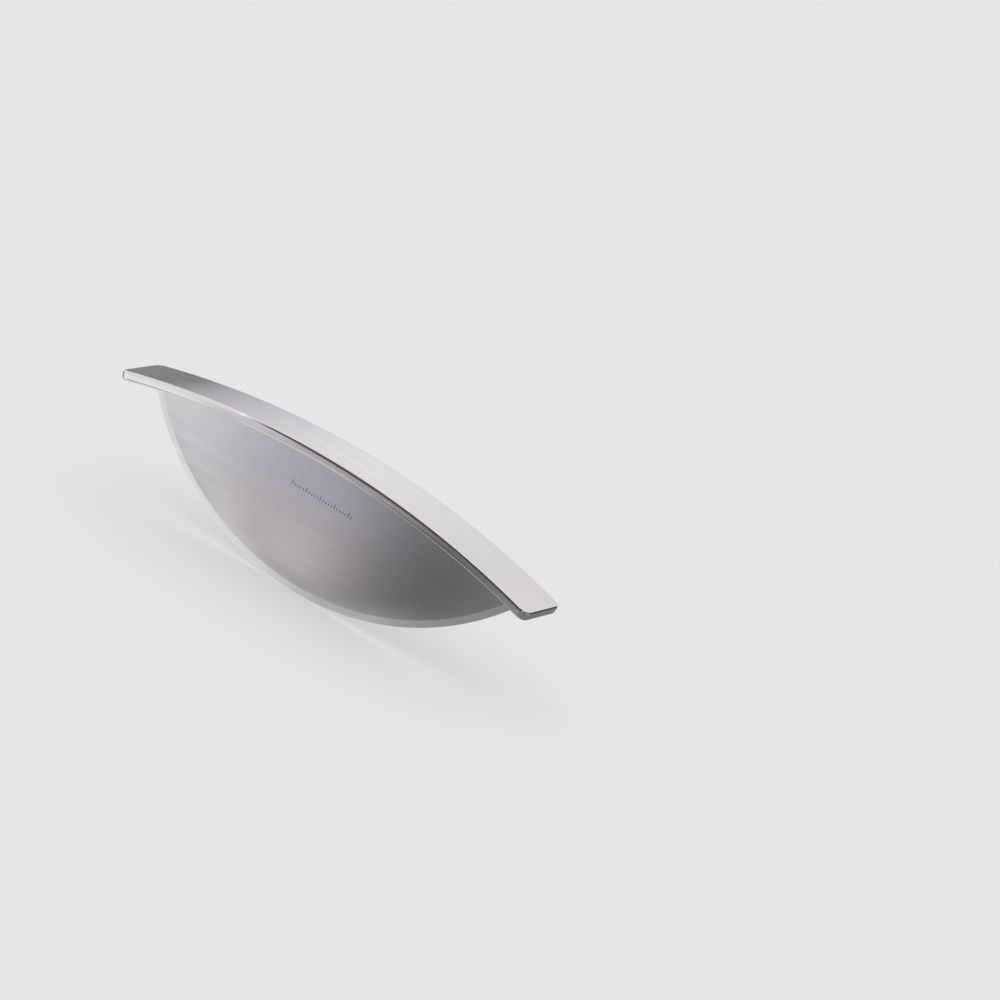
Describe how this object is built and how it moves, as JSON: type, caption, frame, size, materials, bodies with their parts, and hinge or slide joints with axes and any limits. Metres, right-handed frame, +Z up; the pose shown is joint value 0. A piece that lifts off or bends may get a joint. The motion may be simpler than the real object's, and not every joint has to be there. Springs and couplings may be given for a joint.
{
  "type": "mezzaluna",
  "caption": "All steel mezzaluna: an arched flat bar handle over a half moon blade with a ground edge, welded as a T.",
  "frame": {"origin": "lowest point of the cutting edge, in the middle of the knife's length and width", "axes": "+X along the handle bar, +Y across it, from the front side of the blade to its back, +Z up from the edge to the handle"},
  "size_m": [0.2314, 0.037, 0.07],
  "materials": {
    "bar_steel": "fine satin stainless steel with polished edges",
    "blade_steel": "stainless steel brushed lengthwise, with a brighter ground bevel along the edge",
    "weld_steel": "weld metal dressed smooth and satin finished"
  },
  "bodies": {
    "root": {"handle_bar": "bar_steel", "blade": "blade_steel", "weld_front": "weld_steel", "weld_back": "weld_steel"}
  },
  "joints": []
}
